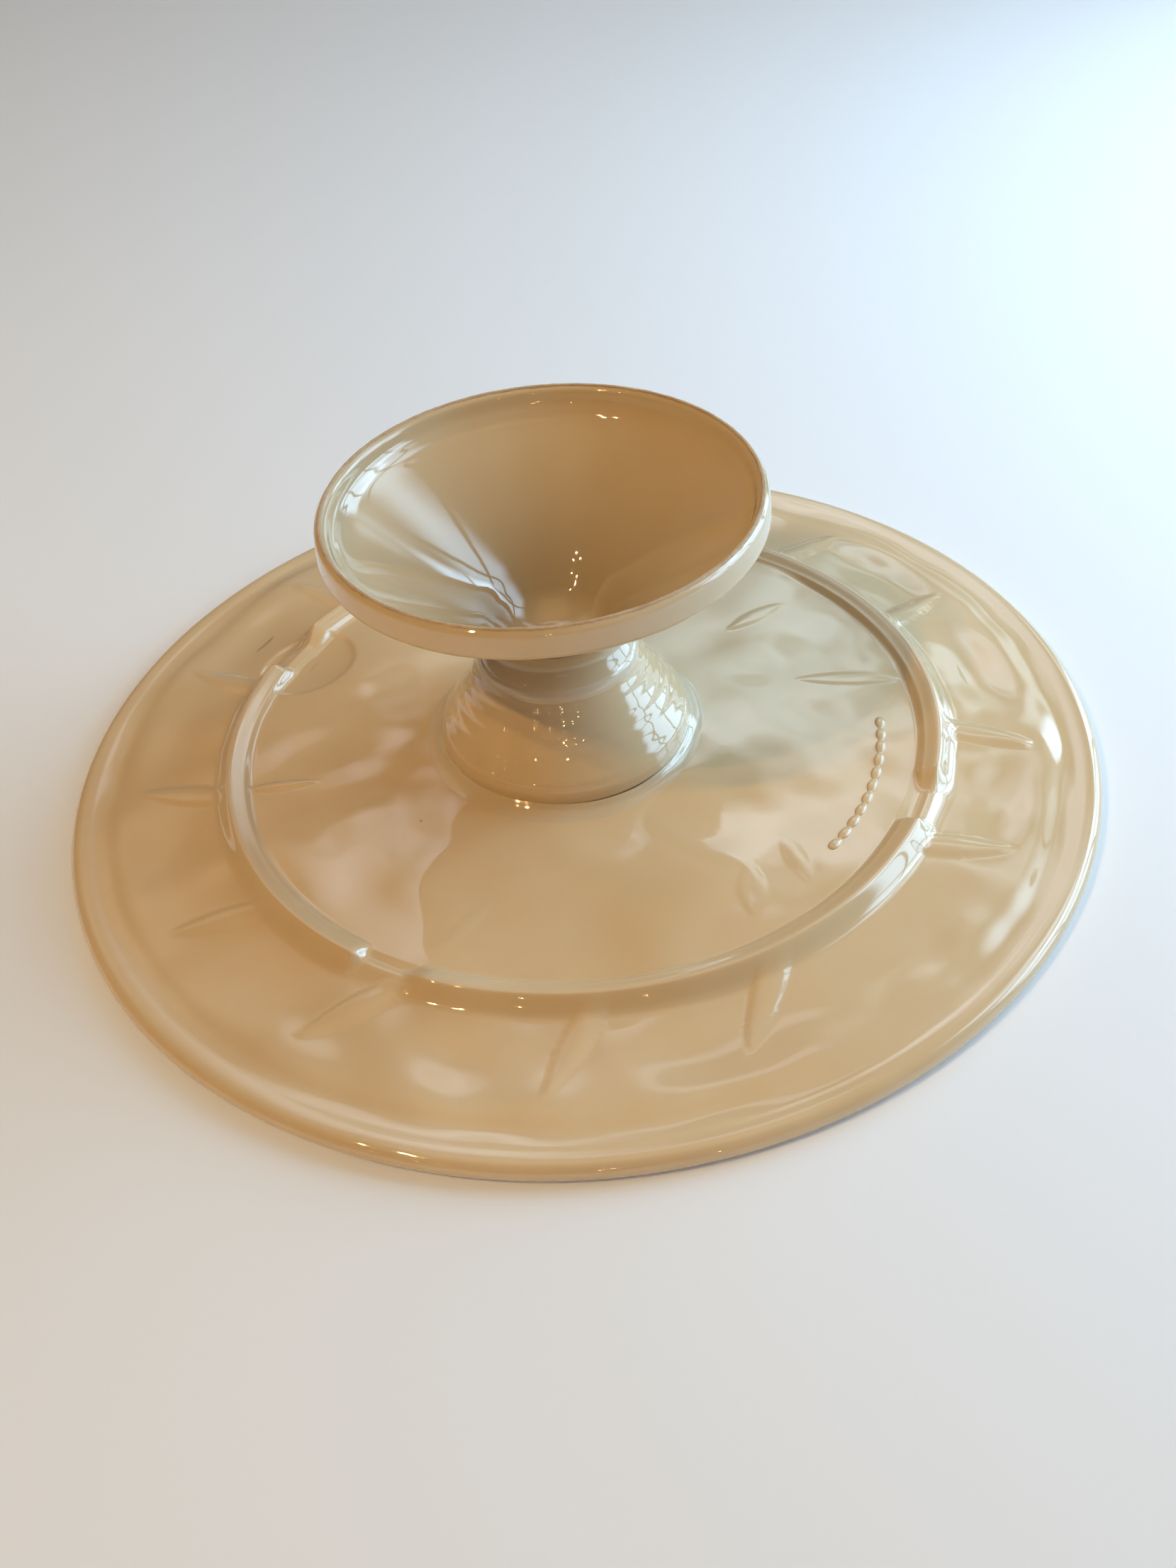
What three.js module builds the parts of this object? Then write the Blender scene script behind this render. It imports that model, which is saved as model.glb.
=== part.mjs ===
// Chip and dip server: a glazed ceramic plate with a dip well sunk in its centre, carried on a
// hollow pedestal foot. It is modelled turned over, standing on its rim: the origin is the
// centre of the rim's plane and +Z runs from the rim up to the foot. Lengths are millimetres.
import * as THREE from 'three';
import { mergeVertices } from 'three/addons/utils/BufferGeometryUtils.js';

// ---- Driving dimensions ---------------------------------------------------------------------

const OVERALL_HEIGHT = 101.9; // rim's plane to the foot's contact edge
const JOINT_GAP = 0.3; // clearance left between two pieces that touch

const PLATE_RADIUS = 165;
const PLATE_WALL = 5.5;
const RIM_THICKNESS = 6.6;
const RIM_FLAT = 3; // width of the flat that the rim rests on
const RIM_BAND = 8; // plain border between the rim's edge and the petals
const BORDER_Z = 6.3; // height of the underside where the border starts
const SKIRT_Z = 10.3; // height of the underside just outside the drain ring
const RECESS_EDGE_Z = 12.1; // height of the underside just inside the drain ring
const RECESS_CENTRE_Z = 15; // height of the underside on the axis
const PETALS = 13;
const PETAL_RISE = 1.1; // petal's middle above the creases beside it
const FIRST_CREASE_DEG = 19.9;

const RING_RADIUS = 111.7; // middle of the drain ring's top
const RING_TOP_WIDTH = 3.6;
const RING_TOP_Z = 15.3;
const RING_INNER_RUN = 2.4; // spread of the inner wall from its top to its foot
const RING_OUTER_RUN = 4.2;
const NOTCHES = 4;
const NOTCH_WIDTH = 24;
const NOTCH_DEPTH = 0.72; // share of the ring's height that a notch takes away
const FIRST_NOTCH_DEG = 57;
const RING_FOOT_EDGE = 0.6; // upright edge at the foot of each wall
const RING_TOP_BEVEL = 0.3;

const PEDESTAL_SHIFT = -3; // pedestal and well sit this far along X from the rim's centre

const WELL_RADIUS = 39.8; // widest part of the bell
const WELL_TUCK = 2.2; // how far the bell draws in again at its base
const WELL_WALL = 4.8;
const WELL_HEIGHT = 31; // bell's base to its shoulder
const WELL_FLOOR = 5;
const WELL_LIP_DROP = 4; // rim round the well, standing out of the plate's upper face
const WELL_LIP_WIDTH = 5;
const SHOULDER_RADIUS = 25;

const NECK_RADIUS = 20.8;
const NECK_WALL = 5;
const NECK_FLARE_RUN = 3.4; // the neck's curve spreads this far before the straight cone starts
const NECK_FLARE_RISE = 4.4;
const FOOT_RADIUS = 66.3; // lower edge of the foot's band
const FOOT_BAND = 9.9; // height of the band
const BAND_LEAN = 0.8; // how far the band leans in towards the contact edge
const BAND_CORNER = 2.8; // rounding between the cone and the band
const MOUTH_ROUND = 2.6; // rounding where the cone's hollow runs down into the neck
const FOOT_WALL = 4.6;
const CONTACT_WIDTH = 1.6; // flat that the server stands on in use
const EDGE_ROUND = 0.9;

const SEAM_WIDTH = 4.5; // slip worked into the corner round the bell's base
const SEAM_HEIGHT = 1.7;
const COLLAR_WIDTH = 1.5; // slip round the shoulder, where the foot joins the well
const COLLAR_HEIGHT = 2.4;

const MARK_BEADS = 11; // row of plain raised beads in the recess
const BEAD_RADIUS = 1.7;
const BEAD_HEIGHT = 0.9;
const MARK_INSET = 10.5; // from the ring's inner foot in to the middle of the row
const MARK_START_DEG = -44;
const MARK_SPAN_DEG = 38;

const PLATE_SEGMENTS = 6 * PETALS;
const RING_SEGMENTS = 120;
const PEDESTAL_SEGMENTS = 54;

// ---- Small helpers --------------------------------------------------------------------------

const mix = THREE.MathUtils.lerp;
const radians = THREE.MathUtils.degToRad;
const at = (radius, height) => new THREE.Vector2(radius, height);

function spread(from, to, steps) {
  return Array.from({ length: steps + 1 }, (_, i) => mix(from, to, i / steps));
}

function arc(centreRadius, centreZ, radius, fromDeg, toDeg, steps) {
  return spread(radians(fromDeg), radians(toDeg), steps).map((angle) =>
    at(centreRadius + radius * Math.cos(angle), centreZ + radius * Math.sin(angle)),
  );
}

// A smooth curve through a few points, as the given number of straight steps.
function smooth(points, steps) {
  return new THREE.SplineCurve(points).getPoints(steps);
}

// Merges a geometry's shared vertices, so that its faces form one closed body.
function closed(geometry) {
  geometry.deleteAttribute('normal');
  geometry.deleteAttribute('uv');
  return mergeVertices(geometry, 1e-4);
}

// Turns a profile of (radius, height) points about +Z. The profile runs anticlockwise round the
// material, and shape(point), where given, moves each vertex of the turned body.
function turned(profile, segments, shape = () => {}) {
  const geometry = new THREE.LatheGeometry(profile, segments);
  geometry.rotateX(Math.PI / 2);
  const position = geometry.getAttribute('position');
  const point = new THREE.Vector3();
  for (let i = 0; i < position.count; i += 1) {
    point.fromBufferAttribute(position, i);
    shape(point);
    position.setXYZ(i, point.x, point.y, point.z);
  }
  return closed(geometry);
}

function piece(name, geometry, color, roughness) {
  const material = new THREE.MeshStandardMaterial({ color, roughness, metalness: 0 });
  const mesh = new THREE.Mesh(geometry, material);
  mesh.name = name;
  return mesh;
}

// ---- Sizes that follow from the ones above --------------------------------------------------

const BORDER_RADIUS = PLATE_RADIUS - RIM_BAND;
const RING_INNER_TOP = RING_RADIUS - RING_TOP_WIDTH / 2;
const RING_OUTER_TOP = RING_RADIUS + RING_TOP_WIDTH / 2;
const RING_INNER_FOOT = RING_INNER_TOP - RING_INNER_RUN;
const RING_OUTER_FOOT = RING_OUTER_TOP + RING_OUTER_RUN;
const MARK_RADIUS = RING_INNER_FOOT - MARK_INSET;
const WELL_BASE_RADIUS = WELL_RADIUS - WELL_TUCK;
const WELL_MOUTH_RADIUS = WELL_BASE_RADIUS - WELL_WALL;
const WELL_LIP_OUTER = WELL_MOUTH_RADIUS + WELL_LIP_WIDTH;
const SEAM_INNER = WELL_RADIUS + JOINT_GAP;
const SEAM_OUTER = SEAM_INNER + SEAM_WIDTH;
const WELL_BASE_Z = undersideHeight(WELL_BASE_RADIUS) + JOINT_GAP;
const SHOULDER_Z = WELL_BASE_Z + WELL_HEIGHT;
const BAND_Z = OVERALL_HEIGHT - FOOT_BAND;
const NECK_Z = mix(SHOULDER_Z, BAND_Z, 0.22);

// ---- The plate ------------------------------------------------------------------------------

// Height of the plate's underside at a radius, without its petals.
function undersideHeight(radius) {
  if (radius <= RING_INNER_FOOT) {
    const share = (radius / RING_INNER_FOOT) ** 2;
    return mix(RECESS_CENTRE_Z, RECESS_EDGE_Z, share);
  }
  if (radius <= RING_OUTER_FOOT) {
    const share = (radius - RING_INNER_FOOT) / (RING_OUTER_FOOT - RING_INNER_FOOT);
    return mix(RECESS_EDGE_Z, SKIRT_Z, share);
  }
  const share = (radius - RING_OUTER_FOOT) / (BORDER_RADIUS - RING_OUTER_FOOT);
  return mix(SKIRT_Z, BORDER_Z, share);
}

// How far the petals lift both faces of the plate, between the drain ring and the border.
function petalLift(x, y) {
  const radius = Math.hypot(x, y);
  const share = (radius - RING_OUTER_FOOT) / (BORDER_RADIUS - RING_OUTER_FOOT);
  if (share <= 0 || share >= 1) return 0;
  const turn = Math.atan2(y, x) - radians(FIRST_CREASE_DEG);
  const across = Math.abs(Math.sin((PETALS * turn) / 2));
  return PETAL_RISE * Math.sin(Math.PI * share) * (across - 0.5);
}

// The well's mouth moves sideways with the pedestal, and the rest of the recess stretches.
function mouthShift(x, y) {
  const share = (RING_INNER_FOOT - Math.hypot(x, y)) / (RING_INNER_FOOT - 2 * WELL_LIP_OUTER);
  return PEDESTAL_SHIFT * THREE.MathUtils.clamp(share, 0, 1);
}

function servingPlate() {
  const lower = (radius) => at(radius, undersideHeight(radius));
  const upper = (radius) => at(radius, undersideHeight(radius) - PLATE_WALL);
  const recess = [...spread(RING_INNER_FOOT, SEAM_OUTER, 2), WELL_BASE_RADIUS, WELL_MOUTH_RADIUS];
  const lipRound = WELL_LIP_WIDTH / 2;
  const lipZ = undersideHeight(WELL_LIP_OUTER) - PLATE_WALL - WELL_LIP_DROP + lipRound;
  const rimRound = RIM_THICKNESS / 2;
  const flatOuter = PLATE_RADIUS - rimRound;
  const profile = [
    ...arc(WELL_MOUTH_RADIUS + lipRound, lipZ, lipRound, 180, 360, 4),
    ...spread(WELL_LIP_OUTER + 1, RING_INNER_FOOT, 3).map(upper),
    ...spread(RING_OUTER_FOOT, BORDER_RADIUS, 4).map(upper),
    at(flatOuter - RIM_FLAT, 0),
    ...arc(flatOuter, rimRound, rimRound, -90, 90, 5),
    ...spread(BORDER_RADIUS, RING_OUTER_FOOT, 4).map(lower),
    ...recess.map(lower),
    at(WELL_MOUTH_RADIUS, lipZ),
  ];
  return turned(profile, PLATE_SEGMENTS, (point) => {
    point.z += petalLift(point.x, point.y);
    point.x += mouthShift(point.x, point.y);
  });
}

// ---- The drain ring -------------------------------------------------------------------------

// Share of the ring's height that the notches take away at an angle.
function notchCut(angle) {
  const pitch = (2 * Math.PI) / NOTCHES;
  const turn = angle - radians(FIRST_NOTCH_DEG);
  const offset = turn - pitch * Math.round(turn / pitch);
  const share = Math.abs(offset * RING_RADIUS) / (NOTCH_WIDTH / 2);
  return share >= 1 ? 0 : NOTCH_DEPTH * Math.cos((share * Math.PI) / 2) ** 0.7;
}

function drainRing() {
  const bed = (radius) => undersideHeight(radius) + JOINT_GAP;
  const wallFoot = (radius) => at(radius, bed(radius) + RING_FOOT_EDGE);
  const profile = [
    at(RING_INNER_FOOT, bed(RING_INNER_FOOT)),
    at(RING_OUTER_FOOT, bed(RING_OUTER_FOOT)),
    wallFoot(RING_OUTER_FOOT),
    at(RING_OUTER_TOP, RING_TOP_Z - RING_TOP_BEVEL),
    at(RING_OUTER_TOP - 2 * RING_TOP_BEVEL, RING_TOP_Z),
    at(RING_INNER_TOP + 2 * RING_TOP_BEVEL, RING_TOP_Z),
    at(RING_INNER_TOP, RING_TOP_Z - RING_TOP_BEVEL),
    wallFoot(RING_INNER_FOOT),
    at(RING_INNER_FOOT, bed(RING_INNER_FOOT)),
  ];
  return turned(profile, RING_SEGMENTS, (point) => {
    const base = bed(Math.hypot(point.x, point.y));
    const aboveFoot = point.z > base + 1.2 * RING_FOOT_EDGE;
    if (aboveFoot) point.z = mix(point.z, base, notchCut(Math.atan2(point.y, point.x)));
  });
}

// ---- The pedestal: dip well and foot --------------------------------------------------------

// The well's outside, from the base up to the shoulder.
function bellOutline() {
  return smooth(
    [
      at(WELL_BASE_RADIUS, WELL_BASE_Z),
      at(WELL_RADIUS, WELL_BASE_Z + 0.13 * WELL_HEIGHT),
      at(mix(SHOULDER_RADIUS, WELL_RADIUS, 0.84), WELL_BASE_Z + 0.35 * WELL_HEIGHT),
      at(mix(SHOULDER_RADIUS, WELL_RADIUS, 0.4), WELL_BASE_Z + 0.66 * WELL_HEIGHT),
      at(SHOULDER_RADIUS, SHOULDER_Z),
    ],
    9,
  );
}

function dipWell() {
  const ceiling = SHOULDER_Z - WELL_FLOOR;
  const floorRadius = SHOULDER_RADIUS - WELL_WALL - 2;
  const inside = smooth(
    [
      at(0.5 * floorRadius, ceiling),
      at(floorRadius, ceiling - 1.5),
      at(mix(SHOULDER_RADIUS, WELL_RADIUS, 0.45) - WELL_WALL, mix(WELL_BASE_Z, ceiling, 0.62)),
      at(WELL_RADIUS - WELL_WALL - 0.6, mix(WELL_BASE_Z, ceiling, 0.25)),
      at(WELL_MOUTH_RADIUS, WELL_BASE_Z),
    ],
    8,
  );
  return turned([at(0, ceiling), ...inside, ...bellOutline(), at(0, SHOULDER_Z)], PEDESTAL_SEGMENTS);
}

function pedestalFoot() {
  const bottom = SHOULDER_Z + JOINT_GAP;
  const neckBase = SHOULDER_RADIUS - 2 * JOINT_GAP;
  const neckInner = NECK_RADIUS - NECK_WALL;
  const coneLow = at(NECK_RADIUS + NECK_FLARE_RUN, NECK_Z + NECK_FLARE_RISE);
  const coneHigh = at(FOOT_RADIUS - BAND_CORNER, BAND_Z - 0.2 * BAND_CORNER);
  const slope = (coneHigh.y - coneLow.y) / (coneHigh.x - coneLow.x);
  const wallRise = FOOT_WALL * Math.hypot(1, slope);
  const insideCone = (radius, drop = 0) =>
    at(radius, coneLow.y + slope * (radius - coneLow.x) + wallRise - drop);
  const lipOuter = FOOT_RADIUS - BAND_LEAN;
  const flatOuter = lipOuter - EDGE_ROUND;
  const flatInner = flatOuter - CONTACT_WIDTH;
  const bandInner = FOOT_RADIUS - FOOT_WALL;
  const neck = smooth(
    [
      at(neckBase, bottom),
      at(mix(NECK_RADIUS, neckBase, 0.3), mix(bottom, NECK_Z, 0.5)),
      at(NECK_RADIUS, NECK_Z),
      coneLow,
    ],
    9,
  );
  const band = [
    coneHigh,
    at(FOOT_RADIUS - 0.3 * BAND_CORNER, BAND_Z),
    at(FOOT_RADIUS, BAND_Z + 0.5 * BAND_CORNER),
    at(lipOuter, OVERALL_HEIGHT - EDGE_ROUND),
    ...arc(flatOuter, OVERALL_HEIGHT - EDGE_ROUND, EDGE_ROUND, 45, 90, 1),
  ];
  const hollow = [
    at(flatInner, OVERALL_HEIGHT),
    at(flatInner - EDGE_ROUND, OVERALL_HEIGHT - EDGE_ROUND),
    at(bandInner, mix(BAND_Z, OVERALL_HEIGHT, 0.6)),
    at(bandInner - 0.6 * BAND_CORNER, mix(BAND_Z, OVERALL_HEIGHT, 0.36)),
    insideCone(bandInner - 1.8 * BAND_CORNER),
    insideCone(neckInner + MOUTH_ROUND),
    insideCone(neckInner + 0.3 * MOUTH_ROUND, 0.3 * MOUTH_ROUND),
    insideCone(neckInner, MOUTH_ROUND),
    at(neckInner, bottom),
    at(neckBase, bottom),
  ];
  return turned([...neck, ...band, ...hollow], PEDESTAL_SEGMENTS);
}

// ---- The slip at the two joints -------------------------------------------------------------

// The corner between the bell's base and the plate.
function wellSeam() {
  const bed = (radius) => undersideHeight(radius) + JOINT_GAP;
  const crest = SEAM_INNER + 0.1 * SEAM_WIDTH;
  const profile = [
    at(SEAM_INNER, bed(SEAM_INNER)),
    at(SEAM_OUTER, bed(SEAM_OUTER)),
    at(SEAM_OUTER, bed(SEAM_OUTER) + 0.2 * SEAM_HEIGHT),
    at(mix(SEAM_INNER, SEAM_OUTER, 0.5), bed(SEAM_INNER) + 0.35 * SEAM_HEIGHT),
    at(crest, bed(SEAM_INNER) + SEAM_HEIGHT),
    at(SEAM_INNER, bed(SEAM_INNER)),
  ];
  return turned(profile, PEDESTAL_SEGMENTS);
}

// The bead round the foot's base, standing on the well's shoulder.
function shoulderSeam() {
  const inner = SHOULDER_RADIUS + JOINT_GAP;
  const profile = [
    at(inner, SHOULDER_Z),
    at(inner + COLLAR_WIDTH, SHOULDER_Z + COLLAR_HEIGHT / 2),
    at(inner, SHOULDER_Z + COLLAR_HEIGHT),
    at(inner, SHOULDER_Z),
  ];
  return turned(profile, PEDESTAL_SEGMENTS);
}

// ---- The raised mark ------------------------------------------------------------------------

// A plain beaded bar that follows the recess: its edge swells at each bead.
function mouldMark() {
  const halfWidth = (turn) => BEAD_RADIUS * (0.5 + 0.5 * Math.abs(Math.sin(turn * MARK_BEADS)));
  const edge = (side) => (turn) => {
    const angle = radians(MARK_START_DEG + (MARK_SPAN_DEG * turn) / Math.PI);
    const radius = MARK_RADIUS + side * halfWidth(turn);
    return at(radius * Math.cos(angle), radius * Math.sin(angle));
  };
  const turns = spread(0, Math.PI, 6 * MARK_BEADS);
  const outline = [...turns.map(edge(1)), ...turns.reverse().map(edge(-1))];
  const geometry = new THREE.ExtrudeGeometry(new THREE.Shape(outline), {
    depth: BEAD_HEIGHT,
    bevelEnabled: false,
  });
  geometry.translate(0, 0, undersideHeight(MARK_RADIUS - BEAD_RADIUS) + JOINT_GAP);
  return closed(geometry);
}

// ---- The assembly ---------------------------------------------------------------------------

const server = new THREE.Group();
server.add(
  piece('serving_plate', servingPlate(), '#d9c7a8', 0.12),
  piece('drain_ring', drainRing(), '#dccbae', 0.12),
  piece('mould_mark', mouldMark(), '#d6c5a8', 0.15),
);

const pedestal = new THREE.Group();
pedestal.position.x = PEDESTAL_SHIFT;
pedestal.add(
  piece('dip_well', dipWell(), '#dccdb2', 0.12),
  piece('well_seam', wellSeam(), '#e2dccd', 0.12),
  piece('shoulder_seam', shoulderSeam(), '#e2dccd', 0.12),
  piece('pedestal_foot', pedestalFoot(), '#dac9ab', 0.12),
);
server.add(pedestal);

export default server;
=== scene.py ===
"""A glazed ceramic chip and dip server, turned over on its rim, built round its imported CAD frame.

The glaze softens every corner, so each piece is a fine mesh made from a height field or a
turned section.
Lengths in the formulas are millimetres, and MM turns them into Blender's metres.
"""
import math

import bpy
import numpy as np
from mathutils import Matrix, Vector


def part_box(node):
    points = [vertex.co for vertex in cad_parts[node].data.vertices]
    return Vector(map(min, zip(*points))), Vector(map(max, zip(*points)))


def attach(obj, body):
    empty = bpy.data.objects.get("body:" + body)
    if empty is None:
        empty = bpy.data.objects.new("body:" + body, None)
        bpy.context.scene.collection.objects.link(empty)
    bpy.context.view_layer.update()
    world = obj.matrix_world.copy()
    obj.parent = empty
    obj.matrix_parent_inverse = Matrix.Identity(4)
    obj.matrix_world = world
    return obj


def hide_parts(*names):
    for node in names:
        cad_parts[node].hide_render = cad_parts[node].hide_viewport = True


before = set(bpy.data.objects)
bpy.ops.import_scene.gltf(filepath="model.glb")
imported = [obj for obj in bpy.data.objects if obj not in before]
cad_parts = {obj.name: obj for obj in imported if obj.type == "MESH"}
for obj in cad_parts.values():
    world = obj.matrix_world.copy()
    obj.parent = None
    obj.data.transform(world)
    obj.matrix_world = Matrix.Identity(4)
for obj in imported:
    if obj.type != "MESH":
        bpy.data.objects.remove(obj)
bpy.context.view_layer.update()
scene = bpy.context.scene

# ---- Sizes taken from the frame, in millimetres ---------------------------------------------

MM = 0.001


def frame_box(node):
    low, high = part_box(node)
    return np.array(low) / MM, np.array(high) / MM


plate_low, plate_high = frame_box("serving_plate")
well_low, well_high = frame_box("dip_well")
foot_low, foot_high = frame_box("pedestal_foot")

PLATE_RADIUS = (plate_high - plate_low)[:2].min() / 2
PEDESTAL_X = (well_low[0] + well_high[0]) / 2
WELL_RADIUS = (well_high - well_low)[:2].min() / 2
WELL_TOP = well_high[2]
FOOT_RADIUS = (foot_high - foot_low)[:2].min() / 2
FOOT_TOP = foot_high[2]
RING_TOP = frame_box("drain_ring")[1][2]

# ---- Sizes of the visible surface -----------------------------------------------------------

COLUMNS = 720  # steps round the plate and its ring
WELL_COLUMNS = 300
FOOT_COLUMNS = 420
CLAY_COLUMNS = 900
SHOULDER_COLUMNS = 240
PLATE_WALL = 5.5
RIM_ROUND = 3.3
MOUTH_RADIUS = 32.8  # the well's mouth in the food face
MOUTH_LIP = 5.0
RECESS_Z = 15.0  # underside on the axis
RECESS_EDGE = (107.5, 12.1)  # radius and height just inside the ring
SKIRT_EDGE = (117.7, 10.3)  # just outside it
BORDER_EDGE = (157.0, 6.3)
RIM_GROOVE = (152.5, 3.2, 0.45)  # radius, half width, depth
RIM_BEAD = (155.0, 160.0, 0.35)  # radii where it rises, height
CALM_RADII = (150.0, 158.0)  # the unevenness dies out between these, towards the rim
BROAD_HEIGHT, PRESSED_HEIGHT, FINE_HEIGHT = 0.34, 0.12, 0.008
FOOD_FACE_SHARE = 0.8  # how much of the underside's relief shows through on the food face

PETALS = 13
FIRST_RIB_DEG = 19.9
PETAL_END = 144.0  # radius of the scalloped end of each petal
# The depth of each petal's soft hollow, from the first rib anticlockwise.
PETAL_DEPTHS = (1.7, 1.7, 1.4, 1.0, 1.0, 0.9, 0.7, 0.6, 0.7, 0.8, 1.1, 1.5, 1.7)
RIB_START, RIB_END = 106.0, 147.0
RIB_HALF_WIDTH = 4.4
RIB_HEIGHT = 0.95
RIB_EDGE, LEAF_EDGE, DISH_EDGE = 0.55, 0.6, 0.4  # powers: the smaller, the crisper
# How far each rib leans round the plate between its inner and outer end, in degrees.
RIB_LEAN_DEG = (5, -5, -2, 3, 3, -4, -7, -8, -12, -9, -16, 8, -4)

RING_RADIUS = 111.7
RING_OFFSET = 1.3  # the ring's centre sits a little along X
RING_HALF_TOP = 2.3
RING_TOP_LEAN = 1.6  # the top falls this far towards its inner edge
RING_INNER_RUN = 3.2
RING_OUTER_RUN = 6.4
RING_BAND = (100.0, 130.0)  # the ring piece spans these radii
# How far the ring piece's underside, and the plate's bed below it, lie under the level ground.
RING_BOTTOM, RING_BED = 1.6, 1.8
HIDDEN_EDGE = 0.02  # both of them step in this far from the ends of the ring's band
# Each notch: its middle in degrees, its crisp end (1 anticlockwise), and its outward bulge.
NOTCHES = ((333.0, -1, 1.6), (236.5, -1, 0.4), (149.0, 1, -0.8), (57.0, 1, 1.0))
NOTCH_DEPTH = 0.66  # the share of the ring's height that a notch takes
NOTCH_SHAVE = 3.0  # and how far it shaves the outer side inward
# Where a notch starts and ends, from its middle towards its crisp end.
NOTCH_SOFT_RAMP = (-15.0, -5.0)
NOTCH_CRISP_RAMP = (7.0, 10.5)
RING_WANDER = 0.25  # how far the ring strays from a true circle
RING_SETTLE = 0.05  # keeps its crest just under the frame's

# Thin leaves inside the ring: inner degrees and radius, outer degrees and radius, half width,
# height.
LEAVES = (
    (188.0, 84.0, 186.0, 108.0, 2.4, 0.95),
    (248.0, 79.0, 243.0, 101.0, 2.6, 0.25),
    (303.0, 84.0, 296.0, 101.0, 4.4, 0.30),
    (314.0, 82.0, 308.0, 101.0, 3.2, 0.22),
    (9.0, 74.0, 4.0, 108.0, 3.4, 0.42),
    (38.0, 70.0, 36.0, 94.0, 3.0, 0.42),
    (102.0, 74.0, 104.0, 98.0, 3.0, 0.45),
)
DISH = (150.0, 104.0, 18.0, 16.5, 1.25)  # degrees, radius, half sizes round and across, depth

# ---- Small helpers --------------------------------------------------------------------------


def smooth(low, high, value):
    """0 below low, 1 above high, and a soft step between."""
    share = np.clip((value - low) / (high - low), 0, 1)
    return share * share * (3 - 2 * share)


def turn(angle, middle_deg):
    """Angle from a middle direction, in radians, wrapped to half a turn each way."""
    return (angle - math.radians(middle_deg) + math.pi) % (2 * math.pi) - math.pi


def polar(degrees, radius):
    return np.array([math.cos(math.radians(degrees)), math.sin(math.radians(degrees))]) * radius


def curve(points, steps):
    """A smooth curve through a few (radius, height) points, as a fine list of points."""
    p = np.array(points, float)
    p = np.vstack([2 * p[0] - p[1], p, 2 * p[-1] - p[-2]])
    out = []
    for a, b, c, d in zip(p[:-3], p[1:-2], p[2:-1], p[3:]):
        for t in np.linspace(0, 1, steps, endpoint=False):
            out.append(
                0.5 * (2 * b + (c - a) * t + (2 * a - 5 * b + 4 * c - d) * t**2
                       + (3 * b - a - 3 * c + d) * t**3)
            )
    out.append(p[-2])
    return np.array(out)


def round_corner(centre, radius, from_deg, to_deg, steps):
    angles = np.radians(np.linspace(from_deg, to_deg, steps + 1))
    return np.array(centre) + radius * np.stack([np.cos(angles), np.sin(angles)], 1)


def ripple(seed, longest, shortest, count=26):
    """A seeded random field over (x, y): plane waves whose height goes with their length."""
    rng = np.random.RandomState(seed)
    length = np.exp(rng.uniform(math.log(shortest), math.log(longest), count))
    heading = rng.uniform(0, 2 * math.pi, count)
    phase = rng.uniform(0, 2 * math.pi, count)
    height = length / math.sqrt((length**2).sum() / 2)

    def field(x, y):
        total = np.zeros_like(x)
        for k in range(count):
            along = x * math.cos(heading[k]) + y * math.sin(heading[k])
            total += height[k] * np.sin(2 * math.pi * along / length[k] + phase[k])
        return total

    return field


broad_wave = ripple(3, 95.0, 48.0)
pressed_wave = ripple(11, 42.0, 20.0)
fine_wave = ripple(23, 17.0, 9.0)


def soft_waves(x, y):
    """The slow unevenness of pressed clay."""
    return BROAD_HEIGHT * broad_wave(x, y) + PRESSED_HEIGHT * pressed_wave(x, y)


# ---- The underside's relief -----------------------------------------------------------------


def base_height(radius):
    recess = RECESS_Z + (RECESS_EDGE[1] - RECESS_Z) * (radius / RECESS_EDGE[0]) ** 2
    edges = np.array((RECESS_EDGE, SKIRT_EDGE, BORDER_EDGE))
    outside = np.interp(radius, edges[:, 0], edges[:, 1])
    height = np.where(radius < RECESS_EDGE[0], recess, outside)
    groove_radius, groove_half, groove_depth = RIM_GROOVE
    bead_start, bead_end, bead_height = RIM_BEAD
    groove = groove_depth * np.exp(-(((radius - groove_radius) / groove_half) ** 2))
    return height - groove + bead_height * smooth(bead_start, bead_end, radius)


def spindle(x, y, start, end, half_width, height, edge):
    """A raised spindle between two points. A smaller edge power gives it a crisper outline."""
    line = end - start
    length = math.hypot(*line)
    along = ((x - start[0]) * line[0] + (y - start[1]) * line[1]) / length
    across = ((x - start[0]) * -line[1] + (y - start[1]) * line[0]) / length
    share = np.clip(along / length, 0, 1)
    width = half_width * np.sin(math.pi * share) ** 0.75 + 1e-6
    crown = np.clip(1 - (across / width) ** 2, 0, 1) ** edge
    return height * crown * np.sin(math.pi * share) ** 0.5


def petal_dishes(radius, angle):
    """Soft hollows, one to each petal, with no edge of their own."""
    pitch = 2 * math.pi / PETALS
    turned = (angle - math.radians(FIRST_RIB_DEG)) % (2 * math.pi)
    depth = np.array(PETAL_DEPTHS)[np.minimum((turned / pitch).astype(int), PETALS - 1)]
    offset = turned % pitch - pitch / 2
    across = np.clip(np.abs(offset) / (pitch / 2), 0, 1)
    end = PETAL_END + 4.0 - 8.0 * across**2
    share = np.clip((radius - SKIRT_EDGE[0] - 1) / (end - SKIRT_EDGE[0] - 1), 0, 1)
    return -depth * np.cos(math.pi / 2 * across) ** 1.5 * np.sin(math.pi * share**1.2) ** 2


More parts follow.
